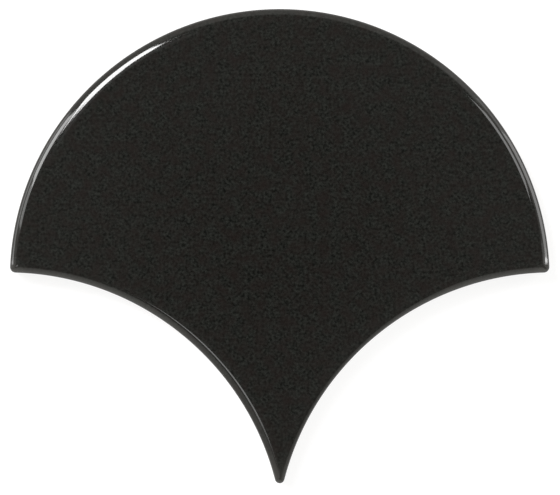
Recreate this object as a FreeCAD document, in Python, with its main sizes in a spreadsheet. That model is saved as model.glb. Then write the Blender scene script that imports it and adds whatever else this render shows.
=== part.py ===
"""Fish scale wall tile, also called a fan or scallop tile: one pressed, glazed and fired piece.

The tile lies on its back. X runs from shoulder to shoulder, Y from the tip to the crown of the
round head, and Z out of the glazed face. The origin is the centre of the head's arc, on the
plane of the back, because courses of such tiles are set out from that point.

The outline is six arcs. The head is a little under half a circle. Each hollow flank is struck
from the centre of the tile that nests in it, one head radius down and half a pitch to the side,
and clears that tile's head by the joint. Small arcs round the two shoulders and the tip. A soft
rim runs round the face and is mitred where the arcs meet, and shallow channels key the back.
"""

import FreeCAD
import Part
import Sketcher

import math
import os

# Driving dimensions in millimetres: alias, value, meaning
DIMENSIONS = [
    ("head_radius", 60.0, "radius of the round head"),
    ("shoulder_gap", 1.0, "joint between the shoulders of two tiles of one course"),
    ("flank_joint", 1.4, "joint between a hollow flank and the head that nests in it"),
    ("shoulder_radius", 1.3, "rounding of each shoulder, seen from the front"),
    ("tip_radius", 1.1, "rounding of the tip, seen from the front"),
    ("tile_thickness", 8.5, "back to glazed face"),
    ("rim_width", 2.2, "width of the soft rim, from the side wall in to the flat face"),
    ("rim_drop", 1.25, "height from the top of the side wall to the flat face"),
    ("arris_radius", 0.5, "rounding where the rim turns down into the side wall"),
    ("back_bevel", 0.5, "bevel round the back"),
    ("key_depth", 0.6, "depth of a keying channel"),
    ("key_width", 4.6, "width of a keying channel at its mouth"),
    ("key_land", 3.0, "width of the land between two channels"),
    ("key_lean", 0.4, "how far each long wall of a channel leans in over its depth"),
    ("key_border", 6.0, "plain border between the channels and the side walls"),
]

# How far a cutting section reaches past the tile; it shapes nothing
CLEAR = 5.0

# An edge no higher than this lies on the back
ON_THE_BACK = 0.001

# Sizes that follow from the driving ones, as expressions on the sheet
NEIGHBOUR_X = "(dims.head_radius + dims.shoulder_gap / 2)"
NEIGHBOUR_Y = "dims.head_radius"
FLANK_RADIUS = "(dims.head_radius + dims.flank_joint)"
WALL_TOP = "(dims.tile_thickness - dims.rim_drop)"
RIM_RADIUS = (
    "((dims.rim_width - dims.arris_radius)^2 + dims.rim_drop^2 - dims.arris_radius^2)"
    " / (2 * (dims.rim_drop - dims.arris_radius))"
)
KEY_PITCH = "(dims.key_width + dims.key_land)"

# Directions from the left flank's centre to the ends of its arc, as the outline measures them
TO_TIP = f"atan(({NEIGHBOUR_Y} * 1 mm - outline.Constraints.tip_y) / ({NEIGHBOUR_X} * 1 mm))"
TO_SHOULDER = (
    f"atan(({NEIGHBOUR_Y} * 1 mm + outline.Constraints.shoulder_y)"
    f" / ({NEIGHBOUR_X} * 1 mm - outline.Constraints.shoulder_x))"
)

# A sketch's numbers for a curve's start, end and centre, and for its own two axes
START, END, CENTRE = range(1, 4)
HORIZONTAL_AXIS, VERTICAL_AXIS = range(-1, -3, -1)
ORIGIN = (HORIZONTAL_AXIS, START)

UP = FreeCAD.Vector(0, 0, 1)


def point(x, y):
    return FreeCAD.Vector(x, y, 0)


def azimuth(start, end):
    """Direction from one point to another, in radians from 0 to a full turn."""
    step = end - start
    return math.atan2(step.y, step.x) % (2 * math.pi)


def arc(centre, radius, start, end):
    """Arc that runs anticlockwise between two azimuths."""
    return Part.ArcOfCircle(Part.Circle(centre, UP, radius), start, end)


def write_dimensions(doc):
    """Puts the driving dimensions on the sheet and gives back their values by alias."""
    sheet = doc.addObject("Spreadsheet::Sheet", "dims")
    for row, (alias, value, meaning) in enumerate(DIMENSIONS, start=1):
        sheet.set(f"A{row}", meaning)
        sheet.set(f"B{row}", str(value))
        sheet.setAlias(f"B{row}", alias)
    doc.recompute()
    return {alias: float(sheet.get(alias)) for alias, _, _ in DIMENSIONS}


class Setting:
    """Where the arcs of the outline are centred, as starting places for the sketches."""

    def __init__(self, size):
        self.head = size["head_radius"]
        self.flank = self.head + size["flank_joint"]
        self.shoulder = size["shoulder_radius"]
        self.tip = size["tip_radius"]
        self.centre = point(0, 0)
        self.neighbour = point(-self.head - size["shoulder_gap"] / 2, -self.head)
        self.shoulder_centre = self.left_shoulder()
        self.tip_centre = self.middle_of_tip()

    def left_shoulder(self):
        """Centre of a small arc that touches the head from within and the flank from without."""
        from_head = self.head - self.shoulder
        from_flank = self.flank + self.shoulder
        apart = self.neighbour.Length
        along = (from_head**2 - from_flank**2 + apart**2) / (2 * apart)
        aside = math.sqrt(from_head**2 - along**2)
        towards = self.neighbour / apart
        return towards * along + point(towards.y, -towards.x) * aside

    def middle_of_tip(self):
        """Centre of a small arc on the tile's middle line that touches both flanks."""
        from_flank = self.flank + self.tip
        rise = math.sqrt(from_flank**2 - self.neighbour.x**2)
        return point(0, self.neighbour.y + rise)


def origin_plane(body, role):
    return next(f for f in body.Origin.OriginFeatures if f.Role == role)


def new_sketch(body, name, role):
    sketch = body.newObject("Sketcher::SketchObject", name)
    sketch.AttachmentSupport = [(origin_plane(body, role), "")]
    sketch.MapMode = "FlatFace"
    return sketch


def rule(sketch, kind, *places):
    """Adds a constraint without a size."""
    return sketch.addConstraint(Sketcher.Constraint(kind, *places))


def bind(sketch, name, expression, kind, *places):
    """Adds a constraint whose size follows the sheet."""
    number = rule(sketch, kind, *places)
    sketch.renameConstraint(number, name)
    sketch.setExpression(f"Constraints.{name}", expression)


def measure(sketch, name, kind, *places):
    """Adds a size that the sketch measures and other objects read."""
    number = rule(sketch, kind, *places)
    sketch.renameConstraint(number, name)
    sketch.setDriving(number, False)


def mirrored(place):
    return point(-place.x, place.y)


def centre_flanks(sketch, left, right, setting):
    """Ties the centres of the two flank arcs to the neighbouring tiles."""
    across, down = -setting.neighbour.x, -setting.neighbour.y
    bind(sketch, "left_x", NEIGHBOUR_X, "DistanceX", left, CENTRE, *ORIGIN, across)
    bind(sketch, "left_y", NEIGHBOUR_Y, "DistanceY", left, CENTRE, *ORIGIN, down)
    bind(sketch, "right_x", NEIGHBOUR_X, "DistanceX", *ORIGIN, right, CENTRE, across)
    bind(sketch, "right_y", NEIGHBOUR_Y, "DistanceY", right, CENTRE, *ORIGIN, down)


def outline_sketch(body, setting):
    """The six arcs of the outline, each tangent to the next."""
    sketch = new_sketch(body, "outline", "XY_Plane")
    at_head = azimuth(setting.centre, setting.shoulder_centre)
    at_flank = azimuth(setting.shoulder_centre, setting.neighbour)
    at_tip = azimuth(setting.tip_centre, setting.neighbour)
    half, full = math.pi, 2 * math.pi

    def small_arc(centre, radius, start, end):
        return sketch.addGeometry(arc(centre, radius, start, end), False)

    head = small_arc(setting.centre, setting.head, half - at_head, at_head)
    left_shoulder = small_arc(setting.shoulder_centre, setting.shoulder, at_head, at_flank)
    left_flank = small_arc(setting.neighbour, setting.flank, at_tip - half, at_flank - half)
    tip = small_arc(setting.tip_centre, setting.tip, at_tip, half + full - at_tip)
    right_flank = small_arc(
        mirrored(setting.neighbour), setting.flank, full - at_flank, full - at_tip
    )
    right_shoulder = small_arc(
        mirrored(setting.shoulder_centre), setting.shoulder, half - at_flank, half - at_head
    )

    rule(sketch, "Tangent", head, END, left_shoulder, START)
    rule(sketch, "Tangent", left_shoulder, END, left_flank, END)
    rule(sketch, "Tangent", left_flank, START, tip, START)
    rule(sketch, "Tangent", tip, END, right_flank, END)
    rule(sketch, "Tangent", right_flank, START, right_shoulder, START)
    rule(sketch, "Tangent", right_shoulder, END, head, START)
    rule(sketch, "Coincident", head, CENTRE, *ORIGIN)
    centre_flanks(sketch, left_flank, right_flank, setting)
    for name, curve, expression, radius in (
        ("head_radius", head, "dims.head_radius", setting.head),
        ("left_flank_radius", left_flank, FLANK_RADIUS, setting.flank),
        ("right_flank_radius", right_flank, FLANK_RADIUS, setting.flank),
        ("left_shoulder_radius", left_shoulder, "dims.shoulder_radius", setting.shoulder),
        ("right_shoulder_radius", right_shoulder, "dims.shoulder_radius", setting.shoulder),
        ("tip_radius", tip, "dims.tip_radius", setting.tip),
    ):
        bind(sketch, name, expression, "Radius", curve, radius)

    # The corners' places and the arcs' turns, which the rim follows
    measure(
        sketch, "shoulder_x", "DistanceX", left_shoulder, CENTRE, *ORIGIN, -setting.shoulder_centre.x
    )
    measure(
        sketch, "shoulder_y", "DistanceY", *ORIGIN, left_shoulder, CENTRE, setting.shoulder_centre.y
    )
    measure(sketch, "tip_y", "DistanceY", tip, CENTRE, *ORIGIN, -setting.tip_centre.y)
    measure(sketch, "head_turn", "Angle", head, 2 * at_head - half)
    measure(sketch, "shoulder_turn", "Angle", left_shoulder, at_flank - at_head)
    measure(sketch, "flank_turn", "Angle", left_flank, at_flank - at_tip)
    measure(sketch, "tip_turn", "Angle", tip, half + full - 2 * at_tip)
    return sketch


def rim_section(body, name, size, wall, wall_expression, inwards):
    """The waste that the rim leaves over the tile's edge, drawn beside the axis it turns about.

    wall is the distance from that axis to the side wall. inwards is -1 where the tile lies
    between the wall and the axis and 1 where it lies beyond the wall. A large arc leaves the
    flat face, and the small arc of the arris takes it down into the wall. Round a corner whose
    radius is less than the rim's width the section ends on the axis.
    """
    width, drop, arris = size["rim_width"], size["rim_drop"], size["arris_radius"]
    face, wall_top = size["tile_thickness"], size["tile_thickness"] - size["rim_drop"]
    radius = ((width - arris) ** 2 + drop**2 - arris**2) / (2 * (drop - arris))
    rim_centre = point(wall + inwards * width, face - radius)
    arris_centre = point(wall + inwards * arris, wall_top)
    turned = math.asin((width - arris) / (radius - arris))
    joint = arris_centre + point(-inwards * math.sin(turned), math.cos(turned)) * arris
    ends_on_axis = inwards < 0 and wall < width
    if ends_on_axis:
        inner = point(0, rim_centre.y + math.sqrt(radius**2 - rim_centre.x**2))
    else:
        inner = point(rim_centre.x, face)
    foot = point(wall, wall_top)
    outer_foot = foot - point(inwards * CLEAR, 0)
    outer_top = point(outer_foot.x, face + CLEAR)
    inner_top = point(inner.x, face + CLEAR)

    sketch = new_sketch(body, name, "XZ_Plane")

    def curve(centre, bend, near, far):
        """Arc from near to far; gives back its number and which of its ends are those two."""
        first, last = azimuth(centre, near), azimuth(centre, far)
        if inwards < 0:
            return sketch.addGeometry(arc(centre, bend, last, first), False), END, START
        return sketch.addGeometry(arc(centre, bend, first, last), False), START, END

    rim, rim_in, rim_out = curve(rim_centre, radius, inner, joint)
    lip, lip_in, lip_out = curve(arris_centre, arris, joint, foot)
    corners = [foot, outer_foot, outer_top, inner_top, inner]
    lines = [
        sketch.addGeometry(Part.LineSegment(a, b), False) for a, b in zip(corners, corners[1:])
    ]
    floor, outer, top, last = lines

    rule(sketch, "Tangent", rim, rim_out, lip, lip_in)
    rule(sketch, "Coincident", lip, lip_out, floor, START)
    for line, following in zip(lines, lines[1:]):
        rule(sketch, "Coincident", line, END, following, START)
    rule(sketch, "Coincident", last, END, rim, rim_in)
    for level in (floor, top):
        rule(sketch, "Horizontal", level)
    for upright in (outer, last):
        rule(sketch, "Vertical", upright)
    rule(sketch, "Horizontal", lip, CENTRE, floor, START)
    if ends_on_axis:
        rule(sketch, "PointOnObject", last, END, VERTICAL_AXIS)
    else:
        rule(sketch, "Vertical", rim, CENTRE, rim, rim_in)

    wall_foot, wall_clear, arc_centre = (floor, START), (floor, END), (rim, CENTRE)
    across = (arc_centre, wall_foot) if inwards < 0 else (wall_foot, arc_centre)
    beyond = (wall_foot, wall_clear) if inwards < 0 else (wall_clear, wall_foot)
    bind(sketch, "rim_radius", RIM_RADIUS, "Radius", rim, radius)
    bind(sketch, "arris_radius", "dims.arris_radius", "Radius", lip, arris)
    bind(sketch, "rim_width", "dims.rim_width", "DistanceX", *across[0], *across[1], width)
    bind(sketch, "clear_out", str(CLEAR), "DistanceX", *beyond[0], *beyond[1], CLEAR)
    bind(sketch, "wall", wall_expression, "DistanceX", *ORIGIN, *wall_foot, wall)
    bind(sketch, "wall_top", WALL_TOP, "DistanceY", *ORIGIN, *wall_foot, wall_top)
    clear_up = f"dims.rim_drop + {CLEAR}"
    bind(sketch, "clear_up", clear_up, "DistanceY", outer, START, outer, END, drop + CLEAR)
    return sketch


def place_section(sketch, x="0", y="0", turn="0"):
    """Moves an upright section to the axis at x and y, and turns it about that axis."""
    sketch.AttachmentOffset = FreeCAD.Placement(point(0, 0), FreeCAD.Rotation(0, 0, 0))
    sketch.setExpression("AttachmentOffset.Base.x", x)
    sketch.setExpression("AttachmentOffset.Base.z", f"-({y})")
    sketch.setExpression("AttachmentOffset.Rotation.Axis.x", "0")
    sketch.setExpression("AttachmentOffset.Rotation.Axis.y", "1")
    sketch.setExpression("AttachmentOffset.Rotation.Axis.z", "0")
    sketch.setExpression("AttachmentOffset.Rotation.Angle", turn)


def turn_away(body, name, section, angle):
    """Cuts a section away about its sketch's upright axis, half the angle to either side."""
    body.Document.recompute()
    before = body.Shape.Volume
    groove = body.newObject("PartDesign::Groove", name)
    groove.Profile = section
    groove.ReferenceAxis = (section, ["V_Axis"])
    groove.Midplane = True
    groove.setExpression("Angle", angle)
    body.Document.recompute()
    if not groove.Shape.Volume < before:
        raise ValueError(f"{name} cut nothing")
    return groove


def mirror_over(body, name, feature):
    """Repeats a feature on the other side of the tile's middle plane."""
    copy = body.newObject("PartDesign::Mirrored", name)
    copy.Originals = [feature]
    copy.MirrorPlane = (origin_plane(body, "YZ_Plane"), [""])
    body.Tip = copy
    body.Document.recompute()
    return copy


def pressed_blank(doc, size, setting):
    """The tile before its back is keyed: slab, back bevel, and the soft rim arc by arc."""
    body = doc.addObject("PartDesign::Body", "blank")
    outline = outline_sketch(body, setting)
    slab = body.newObject("PartDesign::Pad", "slab")
    slab.Profile = outline
    slab.setExpression("Length", "dims.tile_thickness")
    doc.recompute()

    bevel = body.newObject("PartDesign::Chamfer", "back_bevel")
    edges = enumerate(slab.Shape.Edges, start=1)
    bevel.Base = (slab, [f"Edge{n}" for n, edge in edges if edge.BoundBox.ZMax < ON_THE_BACK])
    bevel.setExpression("Size", "dims.back_bevel")

    head = rim_section(body, "head_rim_section", size, setting.head, "dims.head_radius", -1)
    place_section(head, turn="90")
    turn_away(body, "head_rim", head, "outline.Constraints.head_turn")

    flank = rim_section(body, "flank_rim_section", size, setting.flank, FLANK_RADIUS, 1)
    place_section(
        flank, x=f"-{NEIGHBOUR_X}", y=f"-{NEIGHBOUR_Y}", turn=f"({TO_TIP} + {TO_SHOULDER}) / 2"
    )
    left = turn_away(body, "left_flank_rim", flank, "outline.Constraints.flank_turn")
    mirror_over(body, "right_flank_rim", left)

    tip = rim_section(body, "tip_rim_section", size, setting.tip, "dims.tip_radius", -1)
    place_section(tip, y="-outline.Constraints.tip_y", turn="-90")
    turn_away(body, "tip_rim", tip, "outline.Constraints.tip_turn")

    shoulder = rim_section(
        body, "shoulder_rim_section", size, setting.shoulder, "dims.shoulder_radius", -1
    )
    place_section(
        shoulder,
        x="-outline.Constraints.shoulder_x",
        y="outline.Constraints.shoulder_y",
        turn="180 deg - atan(outline.Constraints.shoulder_y / outline.Constraints.shoulder_x)"
        " + outline.Constraints.shoulder_turn / 2",
    )
    left = turn_away(body, "left_shoulder_rim", shoulder, "outline.Constraints.shoulder_turn")
    mirror_over(body, "right_shoulder_rim", left)
    return body


def key_field(doc, size, setting):
    """The part of the back inside the plain border, as deep as the channels."""
    body = doc.addObject("PartDesign::Body", "key_field")
    sketch = new_sketch(body, "field_outline", "XY_Plane")
    border = size["key_border"]
    head_radius, flank_radius = setting.head - border, setting.flank + border
    apart = setting.neighbour.Length
    along = (head_radius**2 - flank_radius**2 + apart**2) / (2 * apart)
    towards = setting.neighbour / apart
    aside = math.sqrt(head_radius**2 - along**2)
    corner = towards * along + point(towards.y, -towards.x) * aside
    rise = math.sqrt(flank_radius**2 - setting.neighbour.x**2)
    foot = point(0, setting.neighbour.y + rise)

    at_corner = azimuth(setting.centre, corner)
    flank_start = azimuth(setting.neighbour, foot)
    flank_end = azimuth(setting.neighbour, corner)
    head = sketch.addGeometry(
        arc(setting.centre, head_radius, math.pi - at_corner, at_corner), False
    )
    left = sketch.addGeometry(arc(setting.neighbour, flank_radius, flank_start, flank_end), False)
    right = sketch.addGeometry(
        arc(mirrored(setting.neighbour), flank_radius, math.pi - flank_end, math.pi - flank_start),
        False,
    )
    rule(sketch, "Coincident", head, END, left, END)
    rule(sketch, "Coincident", left, START, right, END)
    rule(sketch, "Coincident", right, START, head, START)
    rule(sketch, "Coincident", head, CENTRE, *ORIGIN)
    centre_flanks(sketch, left, right, setting)
    inner_head, inner_flank = "dims.head_radius - dims.key_border", f"{FLANK_RADIUS} + dims.key_border"
    bind(sketch, "head_radius", inner_head, "Radius", head, head_radius)
    bind(sketch, "left_flank_radius", inner_flank, "Radius", left, flank_radius)
    bind(sketch, "right_flank_radius", inner_flank, "Radius", right, flank_radius)

    field = body.newObject("PartDesign::Pad", "field")
    field.Profile = sketch
    field.setExpression("Length", "dims.key_depth")
    return body


def key_bars(doc, size, setting):
    """Long bars with leaning walls across the back, one for each channel, as on the punch."""
    pitch = size["key_width"] + size["key_land"]
    first_wall = size["key_land"] / 2 + size["key_width"]
    crown = setting.head - size["key_border"]
    flank_radius = setting.flank + size["key_border"]
    narrow = -setting.neighbour.x - size["key_width"] / 2
    foot = -setting.neighbour.y - math.sqrt(flank_radius**2 - narrow**2)
    above = math.floor((crown - first_wall) / pitch) + 1
    below = math.floor((foot - first_wall) / pitch) + 1

    body = doc.addObject("PartDesign::Body", "key_bars")
    sketch = new_sketch(body, "bar_section", "YZ_Plane")
    middle = (above - 0.5) * pitch
    half, lean, depth = size["key_width"] / 2, size["key_lean"], size["key_depth"]
    corners = [
        point(middle - half, 0),
        point(middle + half, 0),
        point(middle + half - lean, depth),
        point(middle - half + lean, depth),
    ]
    lines = [
        sketch.addGeometry(Part.LineSegment(a, b), False)
        for a, b in zip(corners, corners[1:] + corners[:1])
    ]
    mouth, upper_wall, floor, lower_wall = lines
    for line, following in zip(lines, lines[1:] + lines[:1]):
        rule(sketch, "Coincident", line, END, following, START)
    rule(sketch, "Horizontal", floor)
    rule(sketch, "PointOnObject", mouth, START, HORIZONTAL_AXIS)
    rule(sketch, "PointOnObject", mouth, END, HORIZONTAL_AXIS)
    start = f"{above - 0.5} * {KEY_PITCH} - dims.key_width / 2"
    bind(sketch, "start", start, "DistanceX", *ORIGIN, mouth, START, middle - half)
    bind(sketch, "mouth", "dims.key_width", "DistanceX", mouth, START, mouth, END, 2 * half)
    bind(sketch, "depth", "dims.key_depth", "DistanceY", *ORIGIN, floor, START, depth)
    bind(sketch, "upper_lean", "dims.key_lean", "DistanceX", upper_wall, END, upper_wall, START, lean)
    bind(sketch, "lower_lean", "dims.key_lean", "DistanceX", lower_wall, END, lower_wall, START, lean)

    bar = body.newObject("PartDesign::Pad", "bar")
    bar.Profile = sketch
    bar.Midplane = True
    bar.setExpression("Length", "2 * dims.head_radius")
    doc.recompute()
    rows = body.newObject("PartDesign::LinearPattern", "bars")
    rows.Originals = [bar]
    rows.Direction = (sketch, ["H_Axis"])
    rows.Reversed = True
    rows.Occurrences = above + below
    rows.setExpression("Length", f"{above + below - 1} * {KEY_PITCH}")
    body.Tip = rows
    doc.recompute()
    return body


def keyed_tile(doc, size):
    """The finished tile: the blank less the bars where they lie inside the plain border."""
    setting = Setting(size)
    blank = pressed_blank(doc, size, setting)
    channels = doc.addObject("Part::Common", "channels")
    channels.Base = key_bars(doc, size, setting)
    channels.Tool = key_field(doc, size, setting)
    tile = doc.addObject("Part::Cut", "fish_scale_tile")
    tile.Label = "fish_scale_tile"
    tile.Base = blank
    tile.Tool = channels
    tile.Refine = False
    tile.Placement = FreeCAD.Placement()
    return tile


def check(doc, sub_parts):
    for thing in doc.Objects:
        if {"Invalid", "Error"} & set(thing.State):
            raise ValueError(f"{thing.Name} failed: {thing.State}")
    for part in sub_parts:
        if part.Shape.isNull() or not part.Shape.isValid() or len(part.Shape.Solids) != 1:
            raise ValueError(f"{part.Label} is not one valid solid")


def main():
    doc = FreeCAD.newDocument("fish_scale_tile")
    size = write_dimensions(doc)
    sub_parts = [keyed_tile(doc, size)]
    doc.recompute()
    check(doc, sub_parts)
    os.makedirs("parts", exist_ok=True)
    for part in sub_parts:
        part.Shape.exportStep(f"parts/{part.Label}.step")
        box = part.Shape.optimalBoundingBox(False, False)
        print(
            f"{part.Label}: {box.XLength:.2f} x {box.YLength:.2f} x {box.ZLength:.2f} mm,"
            f" {part.Shape.Volume / 1000:.2f} cm3, {len(part.Shape.Faces)} faces"
        )


main()
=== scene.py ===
"""A black gloss-glazed fish scale tile, face up on a pale floor and seen from straight above.

The tile is one closed mesh, because it is one fired piece. A profile runs from the plain border
of the back round the bevel, up the bare side, over the lip of the glaze and the soft rim to the
flat face, and is carried along the six arcs of the outline. Rows across the tile then fill the
face, and the keyed field of the back.
"""

import math

import bmesh
import bpy
import numpy as np
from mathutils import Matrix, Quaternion, Vector


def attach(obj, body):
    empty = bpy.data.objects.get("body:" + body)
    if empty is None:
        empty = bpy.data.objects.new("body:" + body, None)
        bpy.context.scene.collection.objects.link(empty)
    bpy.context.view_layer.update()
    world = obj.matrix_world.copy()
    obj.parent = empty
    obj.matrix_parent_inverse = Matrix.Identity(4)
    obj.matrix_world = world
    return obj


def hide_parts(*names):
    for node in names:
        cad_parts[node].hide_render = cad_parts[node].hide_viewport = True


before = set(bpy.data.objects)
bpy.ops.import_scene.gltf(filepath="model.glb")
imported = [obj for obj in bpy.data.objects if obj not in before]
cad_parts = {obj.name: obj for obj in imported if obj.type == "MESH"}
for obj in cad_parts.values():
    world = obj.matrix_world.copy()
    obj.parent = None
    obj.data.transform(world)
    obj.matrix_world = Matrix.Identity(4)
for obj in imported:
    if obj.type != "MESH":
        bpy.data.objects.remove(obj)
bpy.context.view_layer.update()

NODE = "fish_scale_tile"
MM = 0.001

# Sizes of the tile in millimetres, as in the part's source
HEAD_RADIUS = 60.0
SHOULDER_GAP = 1.0
FLANK_JOINT = 1.4
SHOULDER_RADIUS = 1.3
TIP_RADIUS = 1.1
THICKNESS = 8.5
RIM_WIDTH = 2.2
RIM_DROP = 1.25
ARRIS_RADIUS = 0.5
BACK_BEVEL = 0.5
KEY_DEPTH = 0.6
KEY_WIDTH = 4.6
KEY_LAND = 3.0
KEY_LEAN = 0.4
KEY_BORDER = 6.0
KEYS_ABOVE = 7
KEYS_BELOW = 3

# The glaze is drawn this far inside the solid, so that it stays in the solid's box
SKIN = 0.02
HEAD = HEAD_RADIUS - SKIN
FLANK = HEAD_RADIUS + FLANK_JOINT + SKIN
# Centre of the neighbouring tile's head, which the left flank is struck from
NEIGHBOUR = complex(-HEAD_RADIUS - SHOULDER_GAP / 2, -HEAD_RADIUS)
# The rim's arc is level where the face begins, and shares a tangent with the arris
WALL_TOP = THICKNESS - RIM_DROP
RIM_RADIUS = ((RIM_WIDTH - ARRIS_RADIUS) ** 2 + RIM_DROP**2 - ARRIS_RADIUS**2) / (
    2 * (RIM_DROP - ARRIS_RADIUS)
)

# How the glaze rounds the creases that run in from the shoulders and the tip
SHOULDER_CREASE = 0.4
TIP_CREASE = 0.15
CREASE_EASE = 0.1

# Where the glaze ends on the side: its middle height, how far it strays, and its lip
GLAZE_FOOT = 5.35
GLAZE_STRAY = 0.34
GLAZE_COAT = 0.1
LIP_HEIGHT = 0.3
UNDER_LIP = 0.06
# Its waves: the fewest and the most round the tile, how they fade with their number, and seed
GLAZE_WAVES = (5, 70)
WAVE_FADE = 0.9
WAVE_SEED = 7

# How thin the glaze draws on the side, where 1 is as thin as over the arris
SIDE_THINNESS = 0.4
# How far round each corner's centre the glaze draws thinner still and has a painted highlight, and
# by what share there
TIP_THINNING, TIP_THINNED_AND_LIT = 5.0, 0.75
SHOULDER_THINNING, SHOULDER_THINNED_AND_LIT = 1.8, 1.0

# The face falls away a little before the rim: how far, and where and how gently it does
FACE_FALL = 0.018
FALL_INSET = 2.35
FALL_EASE = 0.22
# Rows that carry this fall, and where the face is level, as distances in from the rim
FALL_ROWS = np.linspace(0.1, 1.1, 11)
FACE_STARTS = 1.3

# Rows of the profile: insets on the back's border, shares of the bevel inwards and upwards,
# and shares of the height of the bare side and of the glazed one
BORDER_INSETS = (KEY_BORDER, 3.4, 1.2, 0.64)
BEVEL_SHARES = ((1, 0.06), (0.8, 0.2), (0.5, 0.5), (0.2, 0.8), (0.06, 1), (0, 1.24))
BARE_SHARES = (0.3, 0.6, 0.85)
GLAZED_SHARES = (0.35, 0.7)
# How many steps the profile's curves take
LIP_STEPS = 5
ARRIS_STEPS = 7
RIM_STEPS = 24

# How many steps each arc of the outline takes
TIP_STEPS = 9
FLANK_STEPS = 130
SHOULDER_STEPS = 12
HEAD_STEPS = 170
# Even points closer to a wanted one than this share of their spacing are left out
CROWDED = 0.3

# How many points the rows across the face and across the back's field have
FACE_COLUMNS = 60
FIELD_COLUMNS = 24

# A channel's wall from its edge to its floor, as shares of its lean and of its depth
WALL_ACROSS = np.array([0, 0.25, 0.75, 1])
WALL_DOWN = np.array([0, 0.13, 0.87, 1])
# Rows of the field shorter than this each way have the channel's end walls drawn closer
SHORT_ROW = 3 * KEY_LEAN
# Kiln wash is on the back up to this share of the bevel's height and of the channels' depth
WASH_REACH = 0.1

# Material slots of the tile's mesh
GLAZED, BARE = 0, 1
# Points closer than this are welded, and edges with a greater turn in degrees are sharp
WELD = 0.0005
SHARP_TURN = 50


def sine(degrees):
    """Sine of an angle in degrees."""
    return math.sin(math.radians(degrees))


def cosine(degrees):
    """Cosine of an angle in degrees."""
    return math.cos(math.radians(degrees))


def between(start, end, shares):
    """Values at shares of the way from the start to the end."""
    return start + (end - start) * shares


def arc(centre, radius, turns):
    """Points x + iy on a circle, at angles anticlockwise from +X."""
    return centre + radius * np.exp(1j * turns)


def mirrored(points):
    """The points on the other side of the middle line."""
    return -np.conj(points)


def corner_radius(radius, crease, inset):
    """Radius of a corner moved in by inset: it shrinks as much, then settles at the crease's."""
    spare = (radius - crease - inset) / CREASE_EASE
    return crease + CREASE_EASE * np.logaddexp(0, spare)


def head_meets_flank(inset):
    """Where the head's arc and the left flank's cross, both moved in by inset."""
    head, flank, apart = HEAD - inset, FLANK + inset, abs(NEIGHBOUR)
    along = (head**2 - flank**2 + apart**2) / (2 * apart)
    aside = np.sqrt(head**2 - along**2)
    return NEIGHBOUR / apart * (along - 1j * aside)


def flanks_meet(inset):
    """Where the two flanks' arcs cross on the middle line, both moved in by inset."""
    return 1j * (NEIGHBOUR.imag + np.sqrt((FLANK + inset) ** 2 - NEIGHBOUR.real**2))


def corner_arcs(inset):
    """Centre and radius of the tip's arc, and of the left shoulder's, moved in by inset."""
    tip_radius = corner_radius(TIP_RADIUS - SKIN, TIP_CREASE, inset)
    shoulder_radius = corner_radius(SHOULDER_RADIUS - SKIN, SHOULDER_CREASE, inset)
    tip = flanks_meet(inset + tip_radius)
    shoulder = head_meets_flank(inset + shoulder_radius)
    return tip, tip_radius, shoulder, shoulder_radius


def left_side(inset, shares):
    """The outline's left half from the tip to the crown, moved in by each inset.

    Half the tip, the flank, the shoulder and half the head, as points x + iy. The arcs are
    struck from the centres of the moved-in corners, the neighbouring tile and the head. A point
    keeps its share of its arc, whatever the inset. Rows are insets and columns are points.
    """
    inset = np.atleast_1d(np.asarray(inset, float))[:, None]
    tip, tip_radius, shoulder, shoulder_radius = corner_arcs(inset)
    tip_turn = between(-math.pi / 2, np.angle(NEIGHBOUR - tip), shares["tip"])
    flank_turn = between(np.angle(tip - NEIGHBOUR), np.angle(shoulder - NEIGHBOUR), shares["flank"])
    from_flank, to_head = np.angle(NEIGHBOUR - shoulder), np.angle(shoulder) - 2 * math.pi
    shoulder_turn = between(from_flank, to_head, shares["shoulder"])
    head_turn = between(np.angle(shoulder), math.pi / 2, shares["head"])
    return np.hstack([
        arc(tip, tip_radius, tip_turn),
        arc(NEIGHBOUR, FLANK + inset, flank_turn),
        arc(shoulder, shoulder_radius, shoulder_turn),
        arc(0, HEAD - inset, head_turn),
    ])


def whole_loop(left):
    """A closed loop from the left half: up the left side and down the right."""
    return np.hstack([left, mirrored(left[:, -2:0:-1])])


def key_profile():
    """Where the channels' edges lie along Y, and the back's height there, from the tip up.

    Each channel goes down its near wall and up its far one, with the edges eased by a step.
    """
    middles = (KEY_WIDTH + KEY_LAND) * (np.arange(-KEYS_BELOW, KEYS_ABOVE) + 0.5)
    near = KEY_LEAN * WALL_ACROSS - KEY_WIDTH / 2
    places = middles[:, None] + np.hstack([near, -near[::-1]])
    depths = KEY_DEPTH * np.hstack([WALL_DOWN, WALL_DOWN[::-1]])
    return places.ravel(), np.tile(depths, len(middles))


def even_shares(steps):
    """Even shares of an arc up to its end, without its start."""
    return np.linspace(0, 1, steps + 1)[1:]


def thinned(even, wanted):
    """The wanted shares with the even ones, less those that crowd a wanted one."""
    room = CROWDED * (even[1] - even[0])
    keep = np.abs(even[:, None] - wanted).min(1) > room
    keep[-1] = True
    return np.sort(np.hstack([even[keep], wanted]))


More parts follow.
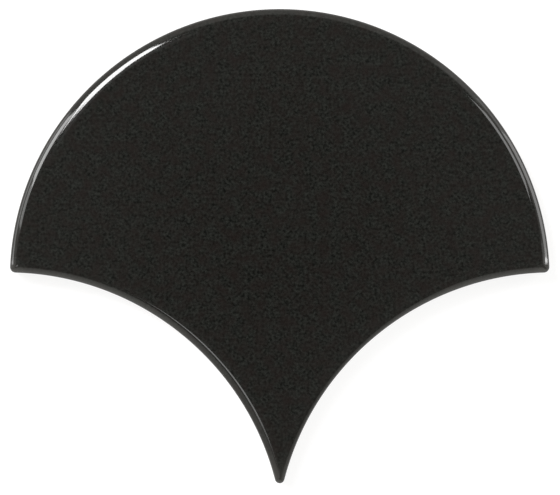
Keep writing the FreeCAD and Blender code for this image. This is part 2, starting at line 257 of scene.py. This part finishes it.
def arc_shares():
    """Each point's share of its arc, with points where the channels' edges meet the border."""
    head, flank = HEAD - KEY_BORDER, FLANK + KEY_BORDER
    tip, _, shoulder, _ = corner_arcs(KEY_BORDER)
    edges, _ = key_profile()
    start, end = np.angle(shoulder), math.pi / 2
    head_edges = math.pi - np.arcsin(edges[edges > shoulder.imag] / head)
    on_head = (head_edges - start) / (end - start)
    start, end = np.angle(tip - NEIGHBOUR), np.angle(shoulder - NEIGHBOUR)
    flank_edges = np.arcsin((edges[edges < shoulder.imag] - NEIGHBOUR.imag) / flank)
    on_flank = (flank_edges - start) / (end - start)
    return {
        "tip": np.append(0, even_shares(TIP_STEPS)),
        "flank": thinned(even_shares(FLANK_STEPS), on_flank),
        "shoulder": even_shares(SHOULDER_STEPS),
        "head": thinned(even_shares(HEAD_STEPS), on_head),
    }


def along_loop(loop):
    """How far round a closed loop each point lies, as an angle from 0 to a full turn."""
    steps = np.abs(np.diff(np.append(loop, loop[0])))
    return 2 * math.pi * np.append(0, np.cumsum(steps)[:-1]) / steps.sum()


def waves(turn, low, high, fade, seed):
    """Uneven line round the tile: sines of low to high waves a turn, fading with their number."""
    rng = np.random.default_rng(seed)
    counts = np.arange(low, high + 1)
    sizes = rng.normal(size=len(counts)) * (low / counts) ** fade
    phases = rng.uniform(0, 2 * math.pi, len(counts))
    line = np.sin(turn[:, None] * counts + phases) @ sizes
    return line / np.abs(line).max()


def fallen(inset):
    """How far the glaze has fallen below the face's plane at an inset: a logistic curve."""
    return FACE_FALL / (1 + math.exp((inset - FALL_INSET) / FALL_EASE))


def stations(turn):
    """The profile from the back's field to the face: rows of inset, height, slot and thinness.

    Heights vary round the tile where the glaze ends, so each height is an array along the loop.
    The slot applies to the strip that follows the station. Thinness is 1 where the glaze draws
    thin over an edge.
    """
    flat = np.zeros_like(turn)
    foot = GLAZE_FOOT + GLAZE_STRAY * waves(turn, *GLAZE_WAVES, WAVE_FADE, WAVE_SEED)
    rows = []

    def add(inset, height, slot, thin):
        rows.append((inset, flat + height, slot, thin))

    # The border of the back, the bevel and the bare side, up to just under the glaze
    for inset in BORDER_INSETS:
        add(inset, 0, BARE, 0)
    for inwards, upwards in BEVEL_SHARES:
        add(GLAZE_COAT + BACK_BEVEL * inwards, BACK_BEVEL * upwards, BARE, 0)
    for share in BARE_SHARES:
        add(GLAZE_COAT, between(BACK_BEVEL, foot, share), BARE, 0)
    add(GLAZE_COAT, foot - UNDER_LIP, BARE, 0)
    # The glaze's lip, a quarter of an ellipse that stands out from the body, and the wall above
    for turned in np.linspace(0, math.pi / 2, LIP_STEPS + 1):
        inset = GLAZE_COAT * (1 - math.sin(turned))
        add(inset, foot + LIP_HEIGHT * (1 - math.cos(turned)), GLAZED, 1 - turned / math.pi)
    for share in GLAZED_SHARES:
        add(0, between(foot + LIP_HEIGHT, WALL_TOP, share), GLAZED, SIDE_THINNESS)
    # The arris and the soft rim, two arcs that meet where both have the same lean
    meet = math.asin((RIM_WIDTH - ARRIS_RADIUS) / (RIM_RADIUS - ARRIS_RADIUS))
    for lean in np.linspace(math.pi / 2, meet, ARRIS_STEPS + 1)[:-1]:
        inset = ARRIS_RADIUS * (1 - math.sin(lean))
        height = WALL_TOP + ARRIS_RADIUS * math.cos(lean)
        add(inset, height - fallen(inset), GLAZED, 1)
    for lean in np.linspace(meet, 0, RIM_STEPS + 1):
        inset = RIM_WIDTH - RIM_RADIUS * math.sin(lean)
        height = THICKNESS - RIM_RADIUS * (1 - math.cos(lean))
        add(inset, height - fallen(inset), GLAZED, (lean / meet) ** 2)
    for inset in RIM_WIDTH + FALL_ROWS:
        add(inset, THICKNESS - fallen(inset), GLAZED, 0)
    add(RIM_WIDTH + FACE_STARTS, THICKNESS, GLAZED, 0)
    return rows


class Shell:
    """Collects grids of points, the strips of faces between them and marks from 0 to 1."""

    def __init__(self):
        self.points, self.faces, self.slots = [], [], []
        self.marks = {"thin": [], "corner": [], "wash": []}
        self.count = 0

    def grid(self, points, heights, slots, closed=False, **marks):
        """Adds a grid of x + iy points and heights; slots gives each row of faces its material."""
        rows, columns = points.shape
        places = np.stack([points.real, points.imag, np.broadcast_to(heights, points.shape)], -1)
        self.points.append(places.reshape(-1, 3))
        for name, values in self.marks.items():
            values.append(np.broadcast_to(marks.get(name, 0), points.shape).ravel())
        number = self.count + np.arange(rows * columns).reshape(rows, columns)
        if closed:
            number = np.hstack([number, number[:, :1]])
        corners = (number[:-1, :-1], number[:-1, 1:], number[1:, 1:], number[1:, :-1])
        self.faces.append(np.stack([corner.ravel() for corner in corners], -1))
        self.slots.append(np.repeat(slots, number.shape[1] - 1))
        self.count += rows * columns

    def build(self, name):
        """One mesh of all the grids, with coinciding points welded."""
        mesh = bpy.data.meshes.new(name)
        mesh.from_pydata(np.vstack(self.points) * MM, [], np.vstack(self.faces).tolist())
        mesh.polygons.foreach_set("material_index", np.hstack(self.slots))
        for mark, values in self.marks.items():
            layer = mesh.attributes.new(mark, "FLOAT", "POINT")
            layer.data.foreach_set("value", np.hstack(values).astype(np.float32))
        work = bmesh.new()
        work.from_mesh(mesh)
        bmesh.ops.remove_doubles(work, verts=work.verts, dist=WELD * MM)
        bmesh.ops.recalc_face_normals(work, faces=work.faces)
        work.to_mesh(mesh)
        work.free()
        mesh.shade_smooth()
        mesh.set_sharp_from_angle(angle=math.radians(SHARP_TURN))
        return mesh


def face_rows(left):
    """Rows across the tile from each point of its left half to that point's mirror image."""
    return left.real[:, None] * -np.linspace(-1, 1, FACE_COLUMNS) + 1j * left.imag[:, None]


def keyed_rows(left):
    """Rows across the back's field, and its height there: the channels, closed at both ends."""
    half = np.abs(left.real)[:, None]
    ends = half - KEY_LEAN * WALL_ACROSS * np.clip(half / SHORT_ROW, 0, 1)
    middle = np.linspace(1, -1, FIELD_COLUMNS)[1:-1] * ends[:, -1:]
    across = np.hstack([ends, middle, -ends[:, ::-1]])
    open_share = np.hstack([WALL_DOWN, np.ones(FIELD_COLUMNS - 2), WALL_DOWN[::-1]])
    edges, depths = key_profile()
    depth = np.interp(left.imag, edges, depths)
    return -across + 1j * left.imag[:, None], depth[:, None] * open_share


def corner_glaze_and_highlight(points):
    """Bell curves of the distance from the centres of the tip's and the shoulders' arcs: where the
    corners are paler, partly thinner glaze and partly a painted highlight.
    """
    shoulder = head_meets_flank(SHOULDER_RADIUS)
    near_tip = np.exp(-(np.abs(points - flanks_meet(TIP_RADIUS)) / TIP_THINNING) ** 2)
    nearest = np.minimum(np.abs(points - shoulder), np.abs(points - mirrored(shoulder)))
    near_shoulder = np.exp(-(nearest / SHOULDER_THINNING) ** 2)
    return TIP_THINNED_AND_LIT * near_tip + SHOULDER_THINNED_AND_LIT * near_shoulder


def tile_mesh():
    """The tile's closed surface: the profile carried round the outline, the face and the field.

    Its marks are where the glaze is thin, where it is thinner still and has a painted highlight,
    which is the bell curves at the corners times the root of the thinness, and where kiln wash is.
    """
    shares = arc_shares()
    turn = along_loop(whole_loop(left_side(0, shares))[0])
    insets, heights, slots, thin = zip(*stations(turn))
    heights = np.stack(heights)
    thin = np.array(thin)[:, None]
    left = left_side(insets, shares)
    loops = whole_loop(left)
    # The corner mark: thinner glaze and a painted highlight at the tip and the shoulders
    corner = corner_glaze_and_highlight(loops) * np.sqrt(thin)
    on_back = (heights < BACK_BEVEL * WASH_REACH).astype(float)

    shell = Shell()
    shell.grid(loops, heights, slots[:-1], closed=True, thin=thin, corner=corner, wash=on_back)
    face = face_rows(left[-1])
    shell.grid(face, THICKNESS, [GLAZED] * (len(face) - 1))
    field, depth = keyed_rows(left[0])
    on_lands = (depth < KEY_DEPTH * WASH_REACH).astype(float)
    shell.grid(field, depth, [BARE] * (len(field) - 1), wash=on_lands)
    return shell.build("fish_scale_tile_surface")


def in_scene(name, data):
    """A new object in the scene, at the origin."""
    thing = bpy.data.objects.new(name, data)
    bpy.context.scene.collection.objects.link(thing)
    return thing


def set_inputs(tree, made, inputs):
    """Sets a node's inputs, or links those that are given as another node's sockets."""
    for name, value in inputs.items():
        if isinstance(value, bpy.types.NodeSocket):
            tree.links.new(value, made.inputs[name])
        else:
            made.inputs[name].default_value = value


def node(tree, kind, inputs=None, **settings):
    """A node with its settings, and its inputs given as values or as sockets to link."""
    made = tree.nodes.new(kind)
    for name, value in settings.items():
        setattr(made, name, value)
    set_inputs(tree, made, inputs or {})
    return made


def math_node(tree, operation, *values):
    """The result of one operation on numbers or sockets."""
    return node(tree, "ShaderNodeMath", dict(enumerate(values)), operation=operation).outputs[0]


def vector_math(tree, operation, *values):
    """A node for one operation on vectors or sockets."""
    return node(tree, "ShaderNodeVectorMath", dict(enumerate(values)), operation=operation)


def ramp(tree, value, start, end, low=0.0, high=1.0, **settings):
    """Goes from low to high as the value goes from start to end, and no further."""
    made = node(tree, "ShaderNodeMapRange", {
        "Value": value,
        "From Min": start,
        "From Max": end,
        "To Min": low,
        "To Max": high,
    }, **settings)
    return made.outputs["Result"]


def mix_colour(tree, mask, first, second):
    """Colour that goes from the first to the second as the mask goes from 0 to 1.

    The sockets go by number, because the node has several of each name.
    """
    return node(tree, "ShaderNodeMix", {0: mask, 6: first, 7: second}, data_type="RGBA").outputs[2]


def mark(tree, name):
    """A mark of the mesh, from 0 to 1."""
    return node(tree, "ShaderNodeAttribute", attribute_name=name).outputs["Fac"]


def bumped(tree, height, depth):
    """Normal of a surface that rises by depth millimetres as the height goes from 0 to 1."""
    raised = {"Strength": 1.0, "Distance": depth * MM, "Height": height}
    return node(tree, "ShaderNodeBump", raised).outputs["Normal"]


def mottle_group():
    """Mottle: soft noise stretched to run from 0 to 1, at a size given in millimetres."""
    group = bpy.data.node_groups.new("mottle", "ShaderNodeTree")
    group.interface.new_socket("Vector", in_out="INPUT", socket_type="NodeSocketVector")
    for name in ("Size", "Detail", "Low", "High"):
        group.interface.new_socket(name, in_out="INPUT", socket_type="NodeSocketFloat")
    group.interface.new_socket("Mask", in_out="OUTPUT", socket_type="NodeSocketFloat")
    given = group.nodes.new("NodeGroupInput").outputs
    noise = node(group, "ShaderNodeTexNoise", {
        "Vector": given["Vector"],
        "Scale": math_node(group, "DIVIDE", 1 / MM, given["Size"]),
        "Detail": given["Detail"],
    })
    mask = ramp(group, noise.outputs["Fac"], given["Low"], given["High"])
    set_inputs(group, group.nodes.new("NodeGroupOutput"), {"Mask": mask})
    return group


# Mottles of the glaze and of the body: the size in millimetres and the detail of the noise, and
# its levels that become 0 and 1
MOTTLES = {
    "fleck": (0.60, 1.5, 0.30, 0.70),
    "rust": (2.8, 3.0, 0.40, 0.80),
    "sheen": (14.0, 2.0, 0.30, 0.70),
    "ripple": (3.2, 1.0, 0.00, 1.00),
    "cloud": (6.0, 4.0, 0.30, 0.70),
    "speck": (0.55, 1.0, 0.70, 0.76),
    "grain": (0.25, 4.0, 0.20, 0.80),
    "worn": (1.1, 5.0, 0.40, 0.60),
}


def mottles(tree, group, *names):
    """The masks of the named mottles, which follow the piece's own coordinates."""
    place = tree.nodes.new("ShaderNodeTexCoord").outputs["Object"]
    masks = []
    for name in names:
        size, detail, low, high = MOTTLES[name]
        made = node(tree, "ShaderNodeGroup", {
            "Vector": place,
            "Size": size,
            "Detail": detail,
            "Low": low,
            "High": high,
        }, node_tree=group)
        masks.append(made.outputs["Mask"])
    return masks


def colour(red, green, blue):
    """An opaque colour, from its linear parts."""
    return (red, green, blue, 1.0)


def new_material(name):
    """A new material, its nodes and its shader."""
    material = bpy.data.materials.new(name)
    material.use_nodes = True
    return material, material.node_tree, material.node_tree.nodes["Principled BSDF"]


BLACK_GLAZE = colour(0.0033, 0.0035, 0.0029)
GREY_FLECK = colour(0.0177, 0.0186, 0.0165)
RUST_FLECK = colour(0.0116, 0.0086, 0.0077)
THIN_GLAZE = colour(0.0210, 0.0175, 0.0145)
# Paler glaze at the corners: partly thin glaze, partly a painted highlight
CORNER_GLAZE_AND_HIGHLIGHT = colour(0.0410, 0.0390, 0.0355)
PALE_BODY = colour(0.560, 0.480, 0.385)
DEEP_BODY = colour(0.430, 0.350, 0.265)
KILN_WASH = colour(0.700, 0.680, 0.640)
IRON_SPECK = colour(0.110, 0.060, 0.035)

# How much of the thin glaze's colour shows where the glaze is thinnest, away from the corners
THIN_SHARE = 0.35
GLAZE_ROUGHNESS = (0.045, 0.075)
GLAZE_IOR = 1.55
BODY_ROUGHNESS = 0.85
# Heights of the glaze's ripple and of the body's grain in millimetres
RIPPLE_HEIGHT = 0.006
GRAIN_HEIGHT = 0.05


def glaze_material(mottle):
    """Black gloss glaze: fine grey and brown flecks, faint ripple, thinner over the edges, and
    paler at the corners, where a highlight is painted.
    """
    material, tree, shader = new_material("black_gloss_glaze")
    fleck, rust, sheen, ripple = mottles(tree, mottle, "fleck", "rust", "sheen", "ripple")
    thin = math_node(tree, "MULTIPLY", mark(tree, "thin"), THIN_SHARE)
    ground = mix_colour(tree, fleck, BLACK_GLAZE, GREY_FLECK)
    warm = mix_colour(tree, rust, ground, RUST_FLECK)
    edges = mix_colour(tree, thin, warm, THIN_GLAZE)
    set_inputs(tree, shader, {
        # The corners are painted paler: thinner glaze and a painted highlight
        "Base Color": mix_colour(tree, mark(tree, "corner"), edges, CORNER_GLAZE_AND_HIGHLIGHT),
        "Roughness": ramp(tree, sheen, 0, 1, *GLAZE_ROUGHNESS),
        "IOR": GLAZE_IOR,
        "Normal": bumped(tree, ripple, RIPPLE_HEIGHT),
    })
    return material


def body_material(mottle):
    """Bare fired body: chalky, grainy, with iron specks, and kiln wash rubbed on the back."""
    material, tree, shader = new_material("bare_fired_body")
    cloud, speck, grain, worn = mottles(tree, mottle, "cloud", "speck", "grain", "worn")
    rubbed = math_node(tree, "MULTIPLY", mark(tree, "wash"), worn)
    ground = mix_colour(tree, cloud, PALE_BODY, DEEP_BODY)
    washed = mix_colour(tree, rubbed, ground, KILN_WASH)
    set_inputs(tree, shader, {
        "Base Color": mix_colour(tree, speck, washed, IRON_SPECK),
        "Roughness": BODY_ROUGHNESS,
        "Normal": bumped(tree, grain, GRAIN_HEIGHT),
    })
    return material


def tile():
    """The one piece, with its materials in the order of the mesh's slots."""
    mottle = mottle_group()
    piece = in_scene("glazed_tile", tile_mesh())
    piece.data.materials.append(glaze_material(mottle))
    piece.data.materials.append(body_material(mottle))
    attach(piece, "root")
    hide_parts(NODE)


# The floor's own white, as the camera and reflections see it, and its colour under the lamps
FLOOR_WHITE = 0.84
FLOOR_COLOUR = colour(0.23, 0.23, 0.23)
# Its radius in metres, and how many sides it has
FLOOR_REACH = 8.0
FLOOR_SIDES = 96
# The floor is this much lower than the back, so that the two share no plane
FLOOR_DROP = 0.02 * MM


def floor():
    """A pale disc that looks white from above and still takes the tile's shadow."""
    edge = arc(0, FLOOR_REACH, np.linspace(0, 2 * math.pi, FLOOR_SIDES, endpoint=False))
    places = np.stack([edge.real, edge.imag, np.full(FLOOR_SIDES, -FLOOR_DROP)], -1)
    mesh = bpy.data.meshes.new("floor")
    mesh.from_pydata(places, [], [list(range(FLOOR_SIDES))])
    material, tree, shader = new_material("pale_floor")
    path = tree.nodes.new("ShaderNodeLightPath").outputs
    seen = math_node(tree, "MAXIMUM", path["Is Camera Ray"], path["Is Glossy Ray"])
    seen = math_node(tree, "MAXIMUM", seen, path["Is Transmission Ray"])
    set_inputs(tree, shader, {
        "Base Color": FLOOR_COLOUR,
        "Roughness": 1.0,
        "Specular IOR Level": 0.0,
        "Emission Color": colour(1, 1, 1),
        "Emission Strength": math_node(tree, "MULTIPLY", seen, FLOOR_WHITE),
    })
    mesh.materials.append(material)
    in_scene("floor", mesh)


# The studio: pale walls low down and dark overhead, as sines of the height above the horizon
WALL_LIGHT = 0.6
WALL_TINT = colour(1.0, 1.0, 0.95)
WALLS_END = sine(41)
DARK_STARTS = sine(56)
# Their foot is white, as the floor is where it meets them
FOOT_WHITE = 1.0
FOOT_ENDS = sine(4)
FOOT_FADES = sine(7)

# Overhead it is darkest straight up, over so small a reach as the tile's flat face mirrors
OVERHEAD = 0.12
STRAIGHT_UP = 0.0
STRAIGHT_UP_REACH = 0.05

# On its dark side the darkness comes down lower: its bearing, half its spread, and by how much
DARK_SIDE = -34
DARK_SPREAD = 34
DARK_DROP = 0.36

# Towards -Y the walls are brighter low down: the middle bearing, where that begins and is full
NEAR_SIDE = -92
NEAR_BEGINS, NEAR_FULL = 52, 30
NEAR_LIGHT = 0.52
NEAR_TOP, NEAR_FOOT = 0.80, 0.30


def studio():
    """Pale walls, white at the foot, that fade upwards into a dark ceiling."""
    world = bpy.data.worlds.new("studio")
    bpy.context.scene.world = world
    world.use_nodes = True
    tree = world.node_tree
    direction = tree.nodes.new("ShaderNodeTexCoord").outputs["Generated"]
    height = node(tree, "ShaderNodeSeparateXYZ", {0: direction}).outputs["Z"]
    level = vector_math(tree, "MULTIPLY", direction, (1, 1, 0)).outputs["Vector"]
    from_zenith = vector_math(tree, "LENGTH", level).outputs["Value"]
    heading = vector_math(tree, "NORMALIZE", level).outputs["Vector"]

    def towards(bearing):
        """Cosine of the angle between the heading and a bearing in degrees."""
        aim = (cosine(bearing), sine(bearing), 0)
        return vector_math(tree, "DOT_PRODUCT", heading, aim).outputs["Value"]

    drop = ramp(tree, towards(DARK_SIDE), cosine(DARK_SPREAD), 1, high=DARK_DROP)
    seeming = math_node(tree, "ADD", height, drop)
    above = ramp(tree, from_zenith, 0, STRAIGHT_UP_REACH, STRAIGHT_UP, OVERHEAD)
    wall = ramp(
        tree, seeming, WALLS_END, DARK_STARTS, WALL_LIGHT, above, interpolation_type="SMOOTHSTEP"
    )
    near = ramp(
        tree, towards(NEAR_SIDE), cosine(NEAR_BEGINS), cosine(NEAR_FULL), high=NEAR_LIGHT
    )
    lit = math_node(tree, "MULTIPLY_ADD", near, ramp(tree, seeming, NEAR_TOP, NEAR_FOOT), wall)
    foot = ramp(tree, height, FOOT_FADES, FOOT_ENDS, high=FOOT_WHITE - WALL_LIGHT)
    strength = math_node(tree, "ADD", lit, foot)
    set_inputs(tree, tree.nodes["Background"], {"Strength": strength, "Color": WALL_TINT})


# Softboxes as the tile sees them: bearing anticlockwise from +X, angle from straight up, width
# and height as angles, roll, all in degrees, and radiance where 1 is white
SOFTBOXES = {
    "key_low": (129.4, 40, 13.1, 9, -10, 21.0),
    "key_middle": (130.9, 29.7, 12.7, 12, -12, 21.0),
    "key_high": (130.1, 20.2, 7.4, 6.8, -11, 21.0),
    "key_top": (134, 14.8, 3.4, 4.2, 0, 21.0),
    "key_edge": (150.3, 48, 12.8, 25, 0, 8.0),
    "key_end": (118.9, 26.5, 1.4, 6.5, 0, 21.0),
    "key_spill": (132.5, 8.8, 4.6, 5.6, 0, 0.45),
    "left_window": (164, 47, 7.5, 22, 0, 2.8),
    "left_low": (159.7, 74, 33.9, 14, 0, 2.2),
    "right_high": (29.8, 33, 11.8, 18, 0, 3.8),
    "right_low": (18, 71, 27.5, 26, 0, 3.2),
    "right_fade": (37, 72, 10, 20, 0, 1.1),
    "right_faint": (47.5, 67, 11, 32, 0, 0.4),
    "right_glint": (4.9, 74, 2.9, 10, 0, 2.0),
    "right_end": (3.55, 71, 0.85, 26, 0, 11.0),
    "right_corner": (5, 46, 4, 20, 0, 0.7),
    "left_glint": (175.2, 73, 2.8, 14, 0, 0.6),
    "left_end": (176.9, 75, 1.0, 18, 0, 3.6),
    "lower_left": (222.8, 25.6, 10, 8.8, -36, 3.3),
    "lower_left_fade": (211.5, 31.5, 5, 8, -36, 1.5),
}
# How far off they stand, in metres
SOFTBOX_REACH = 2.0


def width_seen(degrees):
    """Width of a softbox that looks so wide: its reach times twice the half angle's tangent."""
    return 2 * SOFTBOX_REACH * math.tan(math.radians(degrees / 2))


def softboxes():
    """Rectangular lamps that face the tile; a lamp's power is pi times radiance times area."""
    for name, (bearing, lean, across, tall, roll, radiance) in SOFTBOXES.items():
        lamp = bpy.data.lights.new(name, "AREA")
        lamp.shape = "RECTANGLE"
        lamp.size = width_seen(across)
        lamp.size_y = width_seen(tall)
        lamp.energy = radiance * math.pi * lamp.size * lamp.size_y
        outwards = sine(lean)
        towards = Vector((outwards * cosine(bearing), outwards * sine(bearing), cosine(lean)))
        rolled = Quaternion((0, 0, 1), math.radians(roll))
        thing = in_scene(name, lamp)
        thing.location = towards * SOFTBOX_REACH
        thing.rotation_mode = "QUATERNION"
        thing.rotation_quaternion = towards.to_track_quat("Z", "Y") @ rolled


# The photograph's frame: its scale at the top of the side wall, its width in pixels, and the
# place on the tile at its middle
MM_PER_PIXEL = 0.22215
FRAME_WIDTH = 560
AIM = (0.067, 6.986)
# How high the camera stands above the side wall in millimetres, and how far it sees in metres
CAMERA_REACH = 1200.0
CAMERA_SIGHT = 100


def camera():
    """Looks straight down from far off, with +Y up in the frame."""
    data = bpy.data.cameras.new("camera")
    data.lens = data.sensor_width * CAMERA_REACH / (MM_PER_PIXEL * FRAME_WIDTH)
    data.clip_end = CAMERA_SIGHT
    thing = in_scene("camera", data)
    thing.location = Vector((*AIM, WALL_TOP + CAMERA_REACH)) * MM
    bpy.context.scene.camera = thing


tile()
floor()
studio()
softboxes()
camera()
bpy.context.scene.view_settings.view_transform = "Standard"
